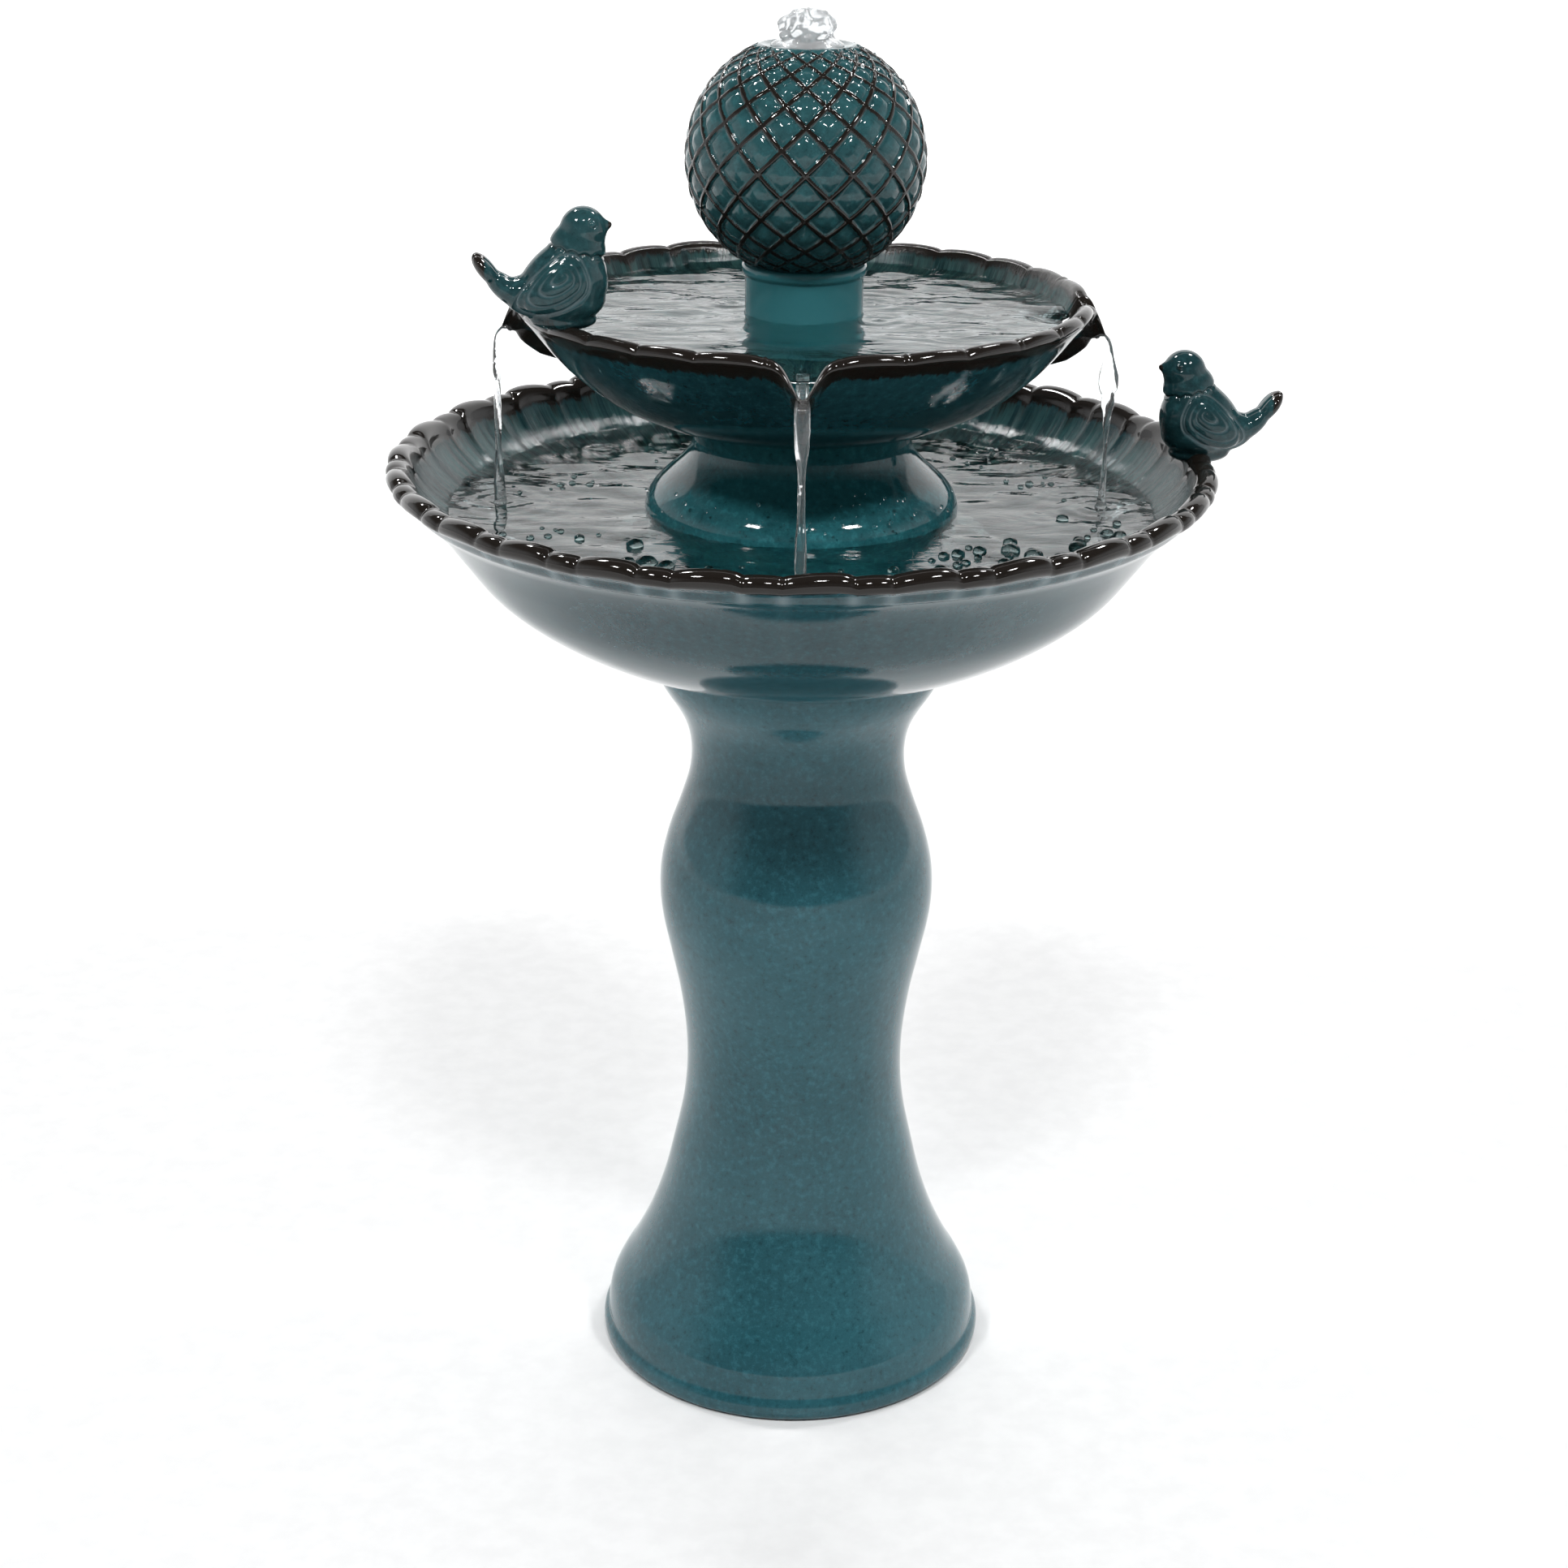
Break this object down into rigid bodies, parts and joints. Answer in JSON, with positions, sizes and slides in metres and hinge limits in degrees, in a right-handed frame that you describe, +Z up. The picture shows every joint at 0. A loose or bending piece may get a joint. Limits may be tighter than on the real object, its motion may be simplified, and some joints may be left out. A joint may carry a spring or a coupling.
{
  "type": "bird bath",
  "caption": "Two-tier glazed ceramic bird bath and fountain on a baluster pedestal, with scalloped bowls, a latticed ball on top, perching birds and a hidden pump.",
  "frame": {"origin": "centre of the pedestal's foot, on the ground", "axes": "+Z up along the centre line, +X towards the bird on the lower bowl, +Y to the back where the cord leaves"},
  "size_m": [0.4381, 0.4064, 0.6858],
  "materials": {
    "pedestal_glaze": "glossy mottled blue-green glaze, browner at the edges",
    "bowl_glaze": "glossy dark teal glaze that breaks brown-black on the rim",
    "ball_glaze": "glossy teal glaze, dark brown on the raised lattice",
    "bird_glaze": "glossy teal glaze, brown on the tail",
    "black_rubber": "matt black rubber",
    "clear": "clear",
    "pump_plastic": "fine textured black plastic",
    "foam": "open-cell black foam",
    "impeller_plastic": "moulded off-white plastic",
    "ferrite": "dark grey sintered ferrite",
    "shaft_ceramic": "polished white ceramic",
    "lamination_steel": "stacked steel laminations",
    "coil_wire": "enamelled copper wire",
    "potting_resin": "black casting resin"
  },
  "bodies": {
    "pedestal": {"pedestal": "pedestal_glaze"},
    "lower_bowl": {"lower_bowl": "bowl_glaze", "bird_lower": "bird_glaze", "cord_grommet": "black_rubber", "pump_housing": "pump_plastic", "volute_cover": "pump_plastic", "intake_cover": "pump_plastic", "filter_foam": "foam", "outlet_barb": "pump_plastic", "impeller_shaft": "shaft_ceramic", "front_bearing": "black_rubber", "rear_bearing": "black_rubber", "stator_core": "lamination_steel", "stator_coil": "coil_wire", "potting": "potting_resin", "suction_cups": "black_rubber", "cord_gland": "black_rubber"},
    "upper_tier": {"riser_stand": "bowl_glaze", "upper_bowl": "bowl_glaze", "bird_upper": "bird_glaze", "tube_seal": "black_rubber", "riser_tube": "clear", "jet_nozzle": "pump_plastic"},
    "ball": {"ball_finial": "ball_glaze"},
    "impeller": {"impeller": "impeller_plastic", "rotor_magnet": "ferrite"},
    "flow_slider": {"flow_slider": "pump_plastic"}
  },
  "joints": [
    {"name": "bowl_lift", "type": "slide", "parent": "pedestal", "child": "lower_bowl", "axis": [0, 0, 1], "range_m": [0, 0.06]},
    {"name": "tier_lift", "type": "slide", "parent": "lower_bowl", "child": "upper_tier", "axis": [0, 0, 1], "range_m": [0, 0.12]},
    {"name": "ball_lift", "type": "slide", "parent": "upper_tier", "child": "ball", "axis": [0, 0, 1], "range_m": [0, 0.12]},
    {"name": "impeller_spin", "type": "hinge", "parent": "lower_bowl", "child": "impeller", "pos_m": [0, 0, 0.42435], "axis": [1, 0, 0], "continuous": true},
    {"name": "flow_slide", "type": "slide", "parent": "lower_bowl", "child": "flow_slider", "axis": [0, 0, 1], "range_m": [0, 0.008]}
  ]
}
